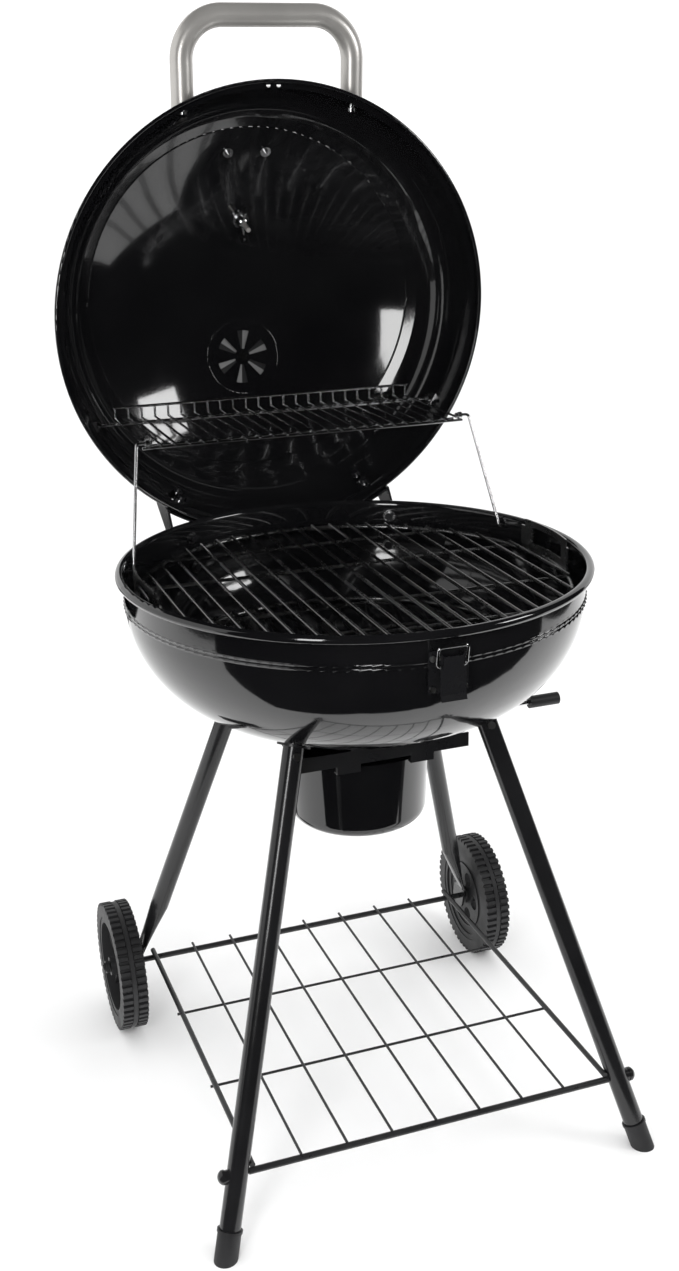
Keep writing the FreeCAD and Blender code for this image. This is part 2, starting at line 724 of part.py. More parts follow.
def make_bucket():
    """Ash bucket that hangs by its flange between two angle rails under the bowl."""
    rail_wall, lip_level = 1.5, dim.rail_z - 10
    seat_z = lip_level + rail_wall
    rails = []
    for side in (-1, 1):
        rail = fuse(
            block(-dim.rail_half, dim.rail_half, 0, rail_wall, dim.rail_z, dim.rail_z + dim.rail_height),
            *[block(x, x + 18, 0, rail_wall, dim.rail_z + 10, 540) for x in (-44, 26)],
            *[block(x, x + 30, -7.5, 0.2, lip_level, seat_z) for x in (-62, 32)],
            *[block(x, x + 30, 0, rail_wall, lip_level, dim.rail_z + 1) for x in (-62, 32)])
        rails.append(cut(moved(rail, 0, dim.rail_y), forms["bowl"]) if side > 0 else
                     cut(moved(rail, 0, -dim.rail_y, 0, Rot(Z_DIR, 180)), forms["bowl"]))
    stand_part("bucket_rails", group(*rails))

    wall, corner, floor_z = 1.2, 16, seat_z - dim.bucket_depth
    mouth = dim.bucket_radius
    base = mouth - 4
    stand_part("ash_bucket", turned([
        (0, floor_z), (base - corner, floor_z, -corner), (base, floor_z + corner),
        (mouth, seat_z + 0.1), (mouth + 7, seat_z + 0.1), (mouth + 7, seat_z + 1.4),
        (mouth - wall, seat_z + 1.4), (base - wall, floor_z + corner, corner - wall),
        (base - corner, floor_z + wall), (0, floor_z + wall)]))


def make_sweeper():
    """Ash sweeper: three blades that follow the bowl's floor, a shaft, a lever and its grip."""
    inside = BOWL_CROWN - dim.shell
    centre = (0, 0, BOWL_CENTRE_Z)
    layer = cut(ball(inside - 0.5, *centre), ball(inside - 2.5, *centre))
    blades = common(layer, sectors(3, 60, 5, 108, 20, 480, 560))
    hub = cylinder(11, 8, 0, 0, BOWL_BOTTOM + dim.shell + 0.75)
    shaft = cylinder(4, 26, 0, 0, 495)
    stand_part("ash_sweeper", fuse(blades, hub, shaft))
    level = 499
    collar = cylinder(8, 7, 0, 0, level - 3.5)
    arm = cylinder(3, 264, 0, 0, level, X_DIR)
    stand_part("sweeper_lever", cut(fuse(collar, arm), cylinder(4, 20, 0, 0, level - 10)))
    grip = common(cylinder(8, 42, 240, 0, level, X_DIR), ball(24, 261, 0, level))
    stand_part("sweeper_grip", cut(grip, cylinder(3, 24, 240, 0, level, X_DIR)))


# ---------------------------------------------------------------- grates

def wire_length(radius, offset):
    """Half length of a wire that crosses a ring at an offset from its middle."""
    return root(radius * radius - offset * offset)


def make_cooking_grate():
    """Round wire grate, and the two curved plates with finger windows that lift it."""
    wire, frame = 2.1, 3.0
    cross_z = dim.grate_z - 2 * wire + 0.3
    rods = [ring(dim.grate_ring, frame, 0, 0, cross_z - 0.2)]
    for index in range(11):
        for side in (-1, 1):
            x = side * (index + 0.5) * dim.grate_pitch
            half = wire_length(dim.grate_ring + 1, x)
            rods.append(cylinder(wire, 2 * half, x, -half, dim.grate_z - 0.1, Y_DIR))
    for y in (-180, -75, 75, 180):
        half = wire_length(dim.grate_ring, Size(y, repr(float(y))))
        rods.append(cylinder(wire, 2 * half, -half, y, cross_z, X_DIR))
    handles = []
    for turn in (0, 180):
        wall = turned([(dim.grate_ring + 1.4, dim.grate_z - 7), (dim.grate_ring + 3.4, dim.grate_z - 7),
                       (dim.grate_ring + 3.4, dim.grate_z + 36), (dim.grate_ring + 1.4, dim.grate_z + 36)],
                      27)
        window = block(240, 280, -38, 38, dim.grate_z + 7, dim.grate_z + 28)
        corner = [block(240, 280, y, y + 16, dim.grate_z + 27, dim.grate_z + 40) for y in (-70, 54)]
        handle = cut(wall, window, *corner)
        handles.append(moved(handle, rotation=Rot(Z_DIR, turn)))
    grid = fuse(*rods)
    stand_part("grate_handles", group(*[cut(handle, grid) for handle in handles]))
    stand_part("cooking_grate", group(grid))


def make_charcoal_grate():
    """Lower wire grate that rests on the curve of the bowl."""
    wire, frame = 2.5, 3.0
    rods = [ring(dim.coal_ring, frame, 0, 0, dim.coal_z - 4.4)]
    for index in range(-7, 8):
        half = wire_length(dim.coal_ring + 1, Size(index * 31.0, repr(index * 31.0)))
        rods.append(cylinder(wire, 2 * half, index * 31.0, -half, dim.coal_z, Y_DIR))
    for y in (-90, 90):
        half = wire_length(dim.coal_ring, Size(y, repr(float(y))))
        rods.append(cylinder(wire, 2 * half, -half, y, dim.coal_z - 4.4, X_DIR))
    stand_part("charcoal_grate", fuse(*rods))


def make_grate_supports():
    """Angle tabs inside the bowl that carry the cooking grate."""
    tabs = []
    top = dim.grate_z - 7.25
    for turn in (45, 135, 225, 315):
        tab = turned([(dim.grate_ring - 6, top - 2), (BOWL_INNER - 2, top - 2),
                      (BOWL_INNER - 2, top - 20), (BOWL_INNER, top - 20),
                      (BOWL_INNER, top), (dim.grate_ring - 6, top)], 5)
        tabs.append(moved(tab, rotation=Rot(Z_DIR, turn)))
    stand_part("grate_supports", group(*[common(tab, forms["bowl_inside"]) for tab in tabs]))


# ---------------------------------------------------------------- hinge

LID_BOLT_X = 134
LID_BOLT_LEVELS = (765, 741)
BOLT_RADIUS = 3
WASHER_RADIUS, WASHER_WALL = 8.2, 1.2
EAR_BOWL_X, EAR_LID_X = 162, 158


def lid_wall_at(level, reach):
    """Largest radius at which a flat disc of a given reach clears the lid's inner wall."""
    side = num(dim.lid_side_arc) - num(dim.shell)
    rise = max(level + reach - num(dim.lid_shoulder_z), 0)
    wall = num(dim.lid_radius) - num(dim.lid_side_arc) + math.sqrt(side ** 2 - rise ** 2)
    return wall - reach ** 2 / (2 * wall) - 0.03


def fastener(start, end, level, turn):
    """Bolt along a radius with its head outside and a nut inside, and its ring washer."""
    nut_radius, nut_length = 5, 4.5
    head_radius, head_length = 5.5, 3.2
    way = spoke(turn)

    def rod(radius, low, high):
        spot = way * low
        return cylinder(radius, high - low, spot.x, spot.y, level, way)

    back = start - WASHER_WALL
    bolt = fuse(rod(BOLT_RADIUS, back - nut_length, end), rod(head_radius, end, end + head_length),
                rod(nut_radius, back - nut_length, back))
    washer = cut(rod(WASHER_RADIUS, back, start), rod(BOLT_RADIUS + 0.02, back - 1, start + 1))
    return bolt, washer


def bolt_holes(x_half, levels, wall):
    """Radial holes for the bolts of one hinge leaf."""
    return [cylinder(BOLT_RADIUS, 300, 0, 0, level, spoke(radial_angle(x, wall)))
            for x in (-x_half, x_half) for level in levels]


def make_hinge():
    """Wide two-leaf hinge behind the rim, with one short pin near each end."""
    hole = cylinder(3, 400, -200, dim.hinge_y, dim.hinge_z, X_DIR)
    loose = cylinder(3.05, 400, -200, dim.hinge_y, dim.hinge_z, X_DIR)

    band_in, band_out = dim.bowl_radius + 1.8, dim.bowl_radius + 4.3
    band = moved(turned([(band_in, 655), (band_out, 655), (band_out, 709), (band_in, 709)], 72.6),
                 rotation=Rot(Z_DIR, 90))
    ears = [seat(sheet_plate([(222, 662), (262, 668), (284, 690), (286.5, 700), (282, 708.5),
                              (222, 708.5)], 3.5, "YZ_Plane"), side * EAR_BOWL_X) for side in (-1, 1)]
    inside = cylinder(band_in, 120, 0, 0, 620)
    stand_part("hinge_bowl_leaf", cut(fuse(band, *ears), inside, hole,
                                      *bolt_holes(HINGE_BOLT_X, HINGE_BOLT_LEVELS, BOWL_INNER)))
    pairs = [fastener(bowl_wall_at(level, WASHER_RADIUS), num(band_out), level,
                      radial_angle(x, BOWL_INNER))
             for x in (-HINGE_BOLT_X, HINGE_BOLT_X) for level in HINGE_BOLT_LEVELS]
    stand_part("hinge_bowl_bolts", group(*[bolt for bolt, _ in pairs]))
    stand_part("hinge_bowl_washers", group(*[washer for _, washer in pairs]))

    band_in, band_out = dim.lid_radius + 0.1, dim.lid_radius + 2.6
    skirt_in, skirt_out = dim.lid_edge_outer + 1.8, dim.lid_edge_outer + 4.3
    band = moved(turned([(band_in, 728), (skirt_in, 728), (skirt_in, 710), (skirt_out, 710),
                         (skirt_out, 730.5), (band_out, 730.5), (band_out, 776), (band_in, 776)],
                        69.2), rotation=Rot(Z_DIR, 90))
    ends = block(-159.5, 159.5, 150, 330, 700, 780)
    ears = [seat(sheet_plate([(230, 772), (230, 729), (246.5, 729), (246.5, 710), (266, 692),
                              (282, 691), (287, 697), (287, 708), (256, 772)], 3, "YZ_Plane"),
                 side * EAR_LID_X) for side in (-1, 1)]
    inside = cylinder(band_in, 120, 0, 0, 700)
    lid_part("hinge_lid_leaf", cut(fuse(common(band, ends), *ears), inside, loose,
                                   *bolt_holes(LID_BOLT_X, LID_BOLT_LEVELS, LID_INNER)))
    pairs = [fastener(lid_wall_at(level, WASHER_RADIUS), num(band_out), level,
                      radial_angle(x, LID_INNER))
             for x in (-LID_BOLT_X, LID_BOLT_X) for level in LID_BOLT_LEVELS]
    lid_part("hinge_lid_bolts", group(*[bolt for bolt, _ in pairs]))
    lid_part("hinge_lid_washers", group(*[washer for _, washer in pairs]))

    pins = []
    for side in (-1, 1):
        pins.append(fuse(*[
            cylinder(radius, length, side * start, dim.hinge_y, dim.hinge_z, X_DIR * side)
            for radius, start, length in ((3, 156, 8.3), (5.5, 154.2, 2), (5.5, 164, 2))]))
    stand_part("hinge_pins", group(*pins))


# ---------------------------------------------------------------- latch

def make_latch():
    """Draw latch on the front of the bowl: base, pin, lever and wire bail."""
    base_in, base_out = dim.bowl_radius + 1.8, dim.bowl_radius + 3.3
    plate = moved(turned([(base_in, 653), (base_out, 653), (base_out, 700), (base_in, 700)], 9.4),
                  rotation=Rot(Z_DIR, -90))
    ears = [block(x, x + 1.6, -dim.latch_y - 4, -dim.bowl_radius - 2.5, dim.latch_z - 6,
                  dim.latch_z + 5) for x in (-13.6, 12)]
    pin_hole = cylinder(1.6, 60, -30, -dim.latch_y, dim.latch_z, X_DIR)
    holes = [cylinder(2, 300, 0, 0, level, spoke(front_angle(x, BOWL_INNER)))
             for x, level in LATCH_RIVETS]
    stand_part("latch_base", cut(fuse(plate, *ears), pin_hole, *holes))
    rivets = []
    for x, level in LATCH_RIVETS:
        way = spoke(front_angle(x, BOWL_INNER))
        start = bowl_wall_at(level, 3.2) - 1.4
        spot = way * start
        tail = cylinder(3.2, 1.4, spot.x, spot.y, level, way)
        shank = cylinder(2, num(base_out) - start + 0.2, spot.x, spot.y, level, way)
        head = way * (num(base_out))
        rivets.append(fuse(tail, shank, cylinder(3.4, 1.5, head.x, head.y, level, way)))
    stand_part("latch_rivets", group(*rivets))
    stand_part("latch_pin", group(cylinder(1.6, 29, -14.5, -dim.latch_y, dim.latch_z, X_DIR)))

    front = -dim.latch_y - 3.2
    face = fuse(block(-11.5, 11.5, front - 1.5, front, 660, dim.latch_z + 3),
                block(-14.5, 14.5, front - 1.5, front, 654, dim.latch_z - 9))
    cheeks = [block(x, x + 1.4, front - 1, -dim.latch_y + 3.4, 680, dim.latch_z + 3)
              for x in (-11.5, 10.1)]
    tail = bent_tail(front)
    bores = [cylinder(1.65, 60, -30, -dim.latch_y, dim.latch_z, X_DIR),
             cylinder(1.65, 60, -30, -dim.latch_y, dim.latch_z - 9, X_DIR)]
    stand_part("latch_lever", cut(fuse(face, *cheeks, tail), *bores))
    bail_y = -dim.latch_y
    low = dim.latch_z - 9
    stand_part("latch_bail", group(bent_rod(
        1.6, 4, (-8.6, bail_y, low), (-16.8, bail_y, low), (-16.8, bail_y - 4, 707.6),
        (16.8, bail_y - 4, 707.6), (16.8, bail_y, low), (8.6, bail_y, low))))


def bent_tail(front):
    """Finger tail of the lever, which leans away from the bowl."""
    return sheet_plate([(front - 1.5, 654.6), (front, 654.6), (front - 3.4, 648),
                        (front - 4.9, 648.6)], 29, "YZ_Plane")


# ---------------------------------------------------------------- lid

def on_crown(spot_y):
    """Height of the lid's crown at a distance from the lid's axis, and its tilt in degrees."""
    reach = num(LID_CROWN)
    height = num(LID_CENTRE_Z) + math.sqrt(reach ** 2 - spot_y ** 2)
    return height, math.degrees(math.asin(spot_y / reach))


def on_pole(item, spot_y):
    """Carry something drawn round the crown's top point to a place along Y."""
    _, tilt = on_crown(spot_y)
    return moved(item, 0, 0, LID_CENTRE_Z, Rot(X_DIR, -tilt))


VENT_ANGLE = 95
KEEPER_HOLES = (-6.7, 6.7)


def petals(turn, inner, outer, spread):
    """Six petal openings about the crown's pole."""
    reach = num(LID_CROWN)
    return sectors(6, turn, inner, outer, spread, reach - 20, reach + 12)


def make_lid():
    """Domed lid with a stepped skirt, rolled edge, vent petals and fastener holes."""
    edge_roll = (dim.lid_edge_outer - dim.skirt_inner) / 2
    roll_centre = dim.skirt_inner + edge_roll
    edge_z = dim.lid_edge_z + edge_roll
    skirt_outer = dim.skirt_inner + dim.shell
    step_top = dim.lid_seat_z + dim.shell
    skirt = [(LID_INNER, dim.lid_seat_z), (dim.skirt_inner, dim.lid_seat_z),
             (dim.skirt_inner, edge_z, -edge_roll), (roll_centre, dim.lid_edge_z, -edge_roll),
             (dim.lid_edge_outer, edge_z, -edge_roll), (roll_centre, edge_z + edge_roll),
             (skirt_outer, edge_z + edge_roll), (skirt_outer, step_top),
             (dim.lid_radius, step_top)]
    body = cut(turned(skirt + lid_half(0) + [(0, dim.lid_seat_z)]), forms["lid_inside"])
    mid_crown = LID_CROWN - dim.shell / 2
    bead_r = 228
    bead_z = num(LID_CENTRE_Z) + math.sqrt(num(mid_crown) ** 2 - bead_r ** 2)
    bead = ring(bead_r, 1.7, 0, 0, bead_z)
    vent_bead = on_pole(ring(52, 1.6, 0, 0, math.sqrt(num(mid_crown) ** 2 - 52 ** 2)), num(dim.vent_y))
    reach = num(LID_CROWN)
    tools = [on_pole(petals(VENT_ANGLE, 11, 37, 27), num(dim.vent_y)),
             on_pole(cylinder(4, 40, 0, 0, reach - 20), num(dim.vent_y)),
             on_pole(cylinder(3.2, 40, 0, 0, reach - 20), -num(dim.gauge_y))]
    for x in (-26, 26):
        tools.append(on_pole(cylinder(2, 40, x, 0, reach - 20), -num(dim.badge_y)))
    for x in KEEPER_HOLES:
        tools.append(cylinder(2.8, 20, x, -283.8, 715))
    tools += bolt_holes(LID_BOLT_X, LID_BOLT_LEVELS, LID_INNER)
    for side in (-1, 1):
        tools.append(cylinder(3, 60, side * dim.handle_half, -290, HANDLE_Z, Y_DIR))
    lid_part("lid", cut(fuse(body, bead, vent_bead), *tools))


def make_vent():
    """Turning damper disc outside the lid, held by a centre rivet."""
    reach = num(LID_CROWN)
    layer = cut(ball(reach + 1.6), ball(reach + 0.4))
    disc = common(layer, cylinder(47, 60, 0, 0, reach - 30))
    tab = block(-7, 7, 38, 62, reach - 2.6, reach + 4.4)
    tab_layer = cut(ball(reach + 4.8), ball(reach + 1.2))
    tab_part = common(tab, tab_layer)
    disc = cut(fuse(disc, tab_part), petals(VENT_ANGLE + 30, 11, 37, 27),
               cylinder(4.06, 60, 0, 0, reach - 30))
    lid_part("vent_disc", on_pole(disc, num(dim.vent_y)))
    rivet = fuse(cylinder(4, 6.6, 0, 0, reach - 4), cylinder(7.5, 2.2, 0, 0, reach + 2.0),
                 cylinder(7, 2.2, 0, 0, reach - 4.2))
    lid_part("vent_rivet", on_pole(rivet, num(dim.vent_y)))


def make_gauge():
    """Dial thermometer: case, stem, dial plate, needle, glass and the wing nut inside."""
    reach = num(LID_CROWN)
    place = -num(dim.gauge_y)
    case = cut(cylinder(34, 15, 0, 0, reach + 2.5), cylinder(31.5, 14, 0, 0, reach + 5))
    bezel = cut(cylinder(36, 5, 0, 0, reach + 14), cylinder(30.5, 7, 0, 0, reach + 13))
    neck = cylinder(8, 3.4, 0, 0, reach + 0.1)
    stem = cylinder(3.2, 45, 0, 0, reach - 40)
    lid_part("gauge_case", on_pole(fuse(case, bezel, neck, stem), place))
    lid_part("gauge_dial", on_pole(group(cylinder(31.4, 1, 0, 0, reach + 5.1)), place))
    post = cylinder(1.2, 4.5, 0, 0, reach + 6.3)
    hand = block(-1.1, 1.1, -7, 25, reach + 9, reach + 9.8)
    tip = cylinder(3.4, 1.6, 0, 0, reach + 8.6)
    lid_part("gauge_needle", on_pole(fuse(post, hand, tip), place))
    lid_part("gauge_glass", on_pole(group(cylinder(31.4, 1.4, 0, 0, reach + 12.4)), place))
    hub = fuse(cylinder(8.5, 10, 0, 0, reach - 13),
               common(ball(10.5, 0, 0, reach - 8), cylinder(8.5, 12, 0, 0, reach - 19)))
    wings = [fuse(cylinder(8.5, 3, -1.5, side * 18, reach - 16, X_DIR),
                  block(-1.5, 1.5, min(0, side * 18), max(0, side * 18), reach - 18, reach - 7))
             for side in (-1, 1)]
    flange = cylinder(11, 1.2, 0, 0, reach - 3.4)
    nut = cut(fuse(hub, flange, *wings), cylinder(3.2, 30, 0, 0, reach - 25))
    lid_part("gauge_wing_nut", on_pole(nut, place))


def make_badge():
    """Plain curved plate on the front of the lid with its two screws."""
    reach = num(LID_CROWN)
    place = -num(dim.badge_y)
    layer = cut(ball(reach + 1.7), ball(reach + 0.15))
    face = fuse(block(-40, 40, -15, 15, reach - 20, reach + 20),
                block(-44, 44, -11, 11, reach - 20, reach + 20),
                *[cylinder(4, 40, x, y, reach - 20) for x in (-40, 40) for y in (-11, 11)])
    holes = [cylinder(2, 60, x, 0, reach - 30) for x in (-26, 26)]
    lid_part("badge_plate", on_pole(cut(common(layer, face), *holes), place))
    screws = []
    for x in (-26, 26):
        sink = reach - math.sqrt(reach ** 2 - x ** 2)
        outer = reach + 1.8 - sink
        screws.append(fuse(cylinder(2, 12, x, 0, outer - 11.4), cylinder(3.6, 1.9, x, 0, outer + 0.1),
                           cylinder(7, 1.2, x, 0, outer - 5.6), cylinder(4, 3.4, x, 0, outer - 8.8)))
    lid_part("badge_screws", on_pole(group(*screws), place))


HANDLE_Z = 746


def make_handle():
    """Wide tubular handle that stands out in front of the lid on two saddles."""
    corners = [(-dim.handle_half, -235, HANDLE_Z), (-dim.handle_half, -dim.handle_reach, HANDLE_Z),
               (dim.handle_half, -dim.handle_reach, HANDLE_Z), (dim.handle_half, -235, HANDLE_Z)]
    outer = bent_rod(dim.handle_radius, 52, *corners)
    inner = bent_rod(dim.handle_radius - 1.4, 52, *corners)
    trim = cylinder(dim.lid_radius + 2.4, 80, 0, 0, HANDLE_Z - 40)
    plugs, bores, saddles, screws = [], [], [], []
    for side in (-1, 1):
        x = side * dim.handle_half
        plugs.append(cylinder(dim.handle_radius - 1.0, 45, x, -280, HANDLE_Z, Y_DIR))
        bores.append(cylinder(3, 40, x, -273, HANDLE_Z, Y_DIR))
        pad = common(cylinder(18, 60, x, -290, HANDLE_Z, Y_DIR), trim)
        saddles.append(cut(pad, forms["lid"], cylinder(3, 80, x, -300, HANDLE_Z, Y_DIR)))
        screws.append(fuse(cylinder(3, 23, x, -273, HANDLE_Z, Y_DIR),
                           cylinder(5.6, 4, x, -254, HANDLE_Z, Y_DIR)))
    tube = cut(outer, inner)
    lid_part("handle", cut(fuse(tube, *plugs), trim, *bores))
    lid_part("handle_saddles", group(*saddles))
    lid_part("handle_screws", group(*screws))


def make_keeper():
    """Folded plate over the front of the lid's step, where the bail bears."""
    skirt = dim.skirt_inner + dim.shell
    step = dim.lid_seat_z + dim.shell
    shape = turned([(284.2, step + 0.05), (skirt + 0.1, step + 0.05), (skirt + 0.1, 718.6),
                    (skirt + 1.7, 718.6), (skirt + 1.7, step + 1.65), (284.2, step + 1.65)], 6.4)
    lid_part("latch_keeper", moved(shape, rotation=Rot(Z_DIR, -90)))


# ---------------------------------------------------------------- warming rack

def rack_pivots():
    """Strut foot B, strut top D and rack pivot C in the open pose, as (y, z)."""
    foot = (dim.strut_y, dim.strut_z)
    top = (dim.strut_y + dim.arm_y, dim.strut_z + dim.arm_z)
    pivot = (dim.hinge_y + dim.arm_y, dim.hinge_z + dim.arm_z)
    return foot, top, pivot


def make_rack():
    """Wire rack: long wires with a raised rear lip, two front rails and a rear pivot rail."""
    wire, rail, pivot_rail = 1.5, 1.8, 2.5
    _, top, pivot = rack_pivots()
    level = pivot[1] + wire + pivot_rail - 0.3
    rear_y = pivot[0] + 18
    front_y = top[0]
    rods, posts = [], []
    for index in range(24):
        x = (index - 11.5) * dim.rack_pitch
        rods.append(cylinder(wire, rear_y - front_y, x, front_y, level, Y_DIR))
        rods.append(ball(wire, x, rear_y, level))
        posts.append(cylinder(wire, dim.rack_lip, x, rear_y, level, Z_DIR))
    span = 11.5 * dim.rack_pitch
    under = level - wire - rail + 0.3
    posts.append(cylinder(rail, 2 * span + 6, -span - 3, rear_y, level + dim.rack_lip, X_DIR))
    rods.append(cylinder(rail, 2 * span + 10, -span - 5, front_y + 3, under, X_DIR))
    rods.append(cylinder(rail, 2 * span - 4, -span + 2, front_y + 16, under, X_DIR))
    rods.append(cylinder(pivot_rail, 480, -240, pivot[0], pivot[1], X_DIR))
    eyes, bores = [], []
    for side in (-1, 1):
        x = side * span - 2
        eyes.append(cylinder(4.2, 4, x, top[0], top[1], X_DIR))
        bores.append(cylinder(2.05, 12, x - 4, top[0], top[1], X_DIR))
    grid = cut(fuse(*rods, *eyes), *bores)
    stand_part("rack_lip", cut(fuse(*posts), grid))
    stand_part("warming_rack", group(grid))


def make_struts():
    """Bent wire struts that keep the rack level as the lid moves."""
    foot, top, _ = rack_pivots()
    for side, name in ((-1, "left"), (1, "right")):
        rod = bent_rod(2, 5, (side * 261, foot[0], foot[1]), (side * 246, foot[0], foot[1]),
                       (side * 222, top[0], top[1]), (side * 203.5, top[0], top[1]))
        outer = cylinder(4.3, 2, side * 258.6, foot[0], foot[1], X_DIR * side)
        inner = cylinder(3.4, 1.5, side * 205, top[0], top[1], X_DIR * -side)
        stand_part("rack_strut_" + name, fuse(rod, outer, inner))


def make_rack_clips():
    """Clips inside the lid that hold the rack's pivot rail."""
    _, _, pivot = rack_pivots()
    swing = math.radians(num(dim.lid_open))
    run, rise = num(pivot[0] - dim.hinge_y), num(pivot[1] - dim.hinge_z)
    y = num(dim.hinge_y) + run * math.cos(swing) - rise * math.sin(swing)
    z = num(dim.hinge_z) + run * math.sin(swing) + rise * math.cos(swing)
    clips = []
    for side in (-1, 1):
        boss = cylinder(7, 3.5, side * 234.5, y, z, X_DIR * side)
        low, high = (237, 262) if side > 0 else (-262, -237)
        foot = block(low, high, y - 7, y + 7, z - 4, z + 4)
        bore = cylinder(2.56, 12, side * 229, y, z, X_DIR * side)
        room = cylinder(3.2, 5, side * 236.8, y, z, X_DIR * side)
        clips.append(cut(common(fuse(boss, foot), forms["lid_inside"]), bore, room))
    lid_part("rack_clips", group(*clips))


make_bowl()
make_legs()
make_feet()
make_axle()
make_wheel(-1, "left")
make_wheel(1, "right")
make_axle_caps()
make_shelf()
make_bucket()
make_sweeper()
make_cooking_grate()
make_charcoal_grate()
make_grate_supports()
make_hinge()
make_latch()
make_lid()
make_vent()
make_gauge()
make_badge()
make_handle()
make_keeper()
make_rack()
make_struts()
make_rack_clips()

doc.recompute()

for item in doc.Objects:
    if "Invalid" in item.State or "Error" in item.State:
        raise SystemExit("failed object: %s %s %s" % (item.Name, item.Label, item.getStatusString()))
for name, item in parts.items():
    if item.Shape.isNull() or not item.Shape.isValid() or not item.Shape.Solids:
        raise SystemExit("bad shape: " + name)

os.makedirs("parts", exist_ok=True)
for name, item in parts.items():
    item.Shape.exportStep("parts/%s.step" % name)
    box = item.Shape.BoundBox
    print("%-18s solids %2d  volume %9.0f  x %7.1f %7.1f  y %7.1f %7.1f  z %7.1f %7.1f" % (
        name, len(item.Shape.Solids), item.Shape.Volume, box.XMin, box.XMax, box.YMin, box.YMax,
        box.ZMin, box.ZMax))
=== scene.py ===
"""Looks of the kettle charcoal grill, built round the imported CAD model. Metres, +Z up."""

import math

import bpy
from mathutils import Matrix, Vector

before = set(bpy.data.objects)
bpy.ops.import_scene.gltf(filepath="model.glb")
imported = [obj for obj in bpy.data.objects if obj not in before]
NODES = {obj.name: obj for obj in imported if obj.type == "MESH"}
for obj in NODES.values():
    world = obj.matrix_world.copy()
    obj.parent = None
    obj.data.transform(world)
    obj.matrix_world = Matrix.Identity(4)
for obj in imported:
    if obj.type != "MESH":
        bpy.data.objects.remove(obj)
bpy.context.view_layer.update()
SCENE = bpy.context.scene


# ---------------------------------------------------------------- camera, floor and light

LIT_POINT = (0, 0, 0.85)

FLOOR_REACH = 24
FLOOR_GAP = 0.0001
# Reflections see this part of the floor only, so the front of the bowl stays dark.
FLOOR_SHEET = [(-2.2, -0.2, 0), (-0.5, -0.3, 0), (-0.15, -0.52, 0), (0.3, -0.6, 0), (2.2, -0.62, 0),
               (2.2, 1.8, 0), (-2.2, 1.8, 0)]

WALL_REACH, WALL_LOW, WALL_HIGH = 2.8, 0.1, 3.4
WALL_START, WALL_TURN, WALL_STEPS = -105, 180, 24


def make_camera():
    """Camera at the photograph's viewing angle, from a fit of the grill's known points."""
    position = Vector((-0.5896, -1.6695, 1.2239))
    yaw, pitch, roll = math.radians(19.73), math.radians(-19.49), math.radians(-1.03)
    level = math.cos(pitch)
    forward = Vector((math.sin(yaw) * level, math.cos(yaw) * level, math.sin(pitch)))
    flat_right = forward.cross(Vector((0, 0, 1))).normalized()
    flat_up = flat_right.cross(forward)
    right = flat_right * math.cos(roll) + flat_up * math.sin(roll)
    up = flat_up * math.cos(roll) - flat_right * math.sin(roll)
    data = bpy.data.cameras.new("camera")
    data.sensor_width = 36
    data.lens = 41.59
    data.clip_end = 50
    camera = bpy.data.objects.new("camera", data)
    turn = Matrix((right, up, -forward)).transposed().to_4x4()
    camera.matrix_world = Matrix.Translation(position) @ turn
    SCENE.collection.objects.link(camera)
    SCENE.camera = camera


def area_light(name, place, size, power):
    """Soft box that faces the middle of the grill."""
    data = bpy.data.lights.new(name, "AREA")
    data.shape = "RECTANGLE"
    data.size, data.size_y = size
    data.energy = power
    light = bpy.data.objects.new(name, data)
    way = Vector(LIT_POINT) - Vector(place)
    light.matrix_world = Matrix.Translation(place) @ way.to_track_quat("-Z", "Y").to_matrix().to_4x4()
    SCENE.collection.objects.link(light)


def stage_piece(name, points, faces, material, **visibility):
    """Mesh of the set: never part of the object."""
    mesh = bpy.data.meshes.new(name)
    mesh.from_pydata(points, [], faces)
    mesh.materials.append(material)
    piece = bpy.data.objects.new(name, mesh)
    for key, value in visibility.items():
        setattr(piece, "visible_" + key, value)
    SCENE.collection.objects.link(piece)


def make_surround(material):
    """Glowing wall round the back and sides, which only reflections see."""
    points = []
    for index in range(WALL_STEPS + 1):
        turn = math.radians(WALL_START + WALL_TURN * index / WALL_STEPS)
        for level in (WALL_LOW, WALL_HIGH):
            points.append((WALL_REACH * math.sin(turn), WALL_REACH * math.cos(turn), level))
    faces = [(2 * i, 2 * i + 1, 2 * i + 3, 2 * i + 2) for i in range(WALL_STEPS)]
    stage_piece("surround", points, faces, material, camera=False, diffuse=False, shadow=False,
                transmission=False)


def stage_material(name, **inputs):
    """Plain material for the set."""
    material = bpy.data.materials.new(name)
    material.use_nodes = True
    shader = material.node_tree.nodes["Principled BSDF"]
    for key, value in inputs.items():
        shader.inputs[key.replace("_", " ")].default_value = value
    return material


